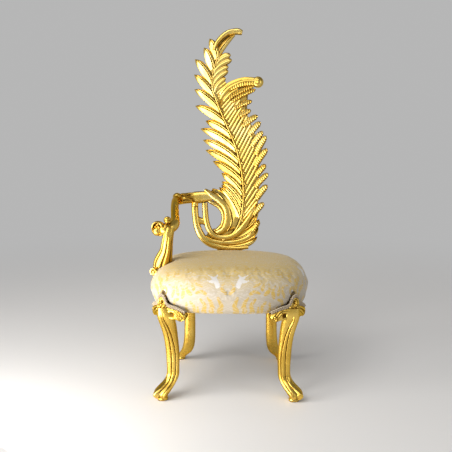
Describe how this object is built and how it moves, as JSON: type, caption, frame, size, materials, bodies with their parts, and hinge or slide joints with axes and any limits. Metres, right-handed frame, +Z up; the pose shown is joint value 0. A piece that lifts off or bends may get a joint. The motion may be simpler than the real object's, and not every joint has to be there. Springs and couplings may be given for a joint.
{
  "type": "throne",
  "caption": "Carved gilded throne chair with a tall palm-plume back, a single scrolled arm and a round damask seat on cabriole legs.",
  "frame": {"origin": "on the floor under the middle of the whole chair", "axes": "+Z up, the front faces -Y, +X is the viewer's right when facing the chair; the arm is on the -X side"},
  "size_m": [0.636, 0.6602, 1.4775],
  "materials": {
    "gilding": "gold leaf over carved wood, bright on the ridges and toned brown in the grooves",
    "damask": "woven damask, ivory ground with golden yellow foliage",
    "gimp": "braided trim, grey-brown"
  },
  "bodies": {
    "root": {"leg_front_left": "gilding", "leg_front_right": "gilding", "leg_rear_left": "gilding", "leg_rear_right": "gilding", "seat": "damask", "braid_left": "gimp", "braid_right": "gimp", "arm": "gilding", "back_plume": "gilding"}
  },
  "joints": []
}
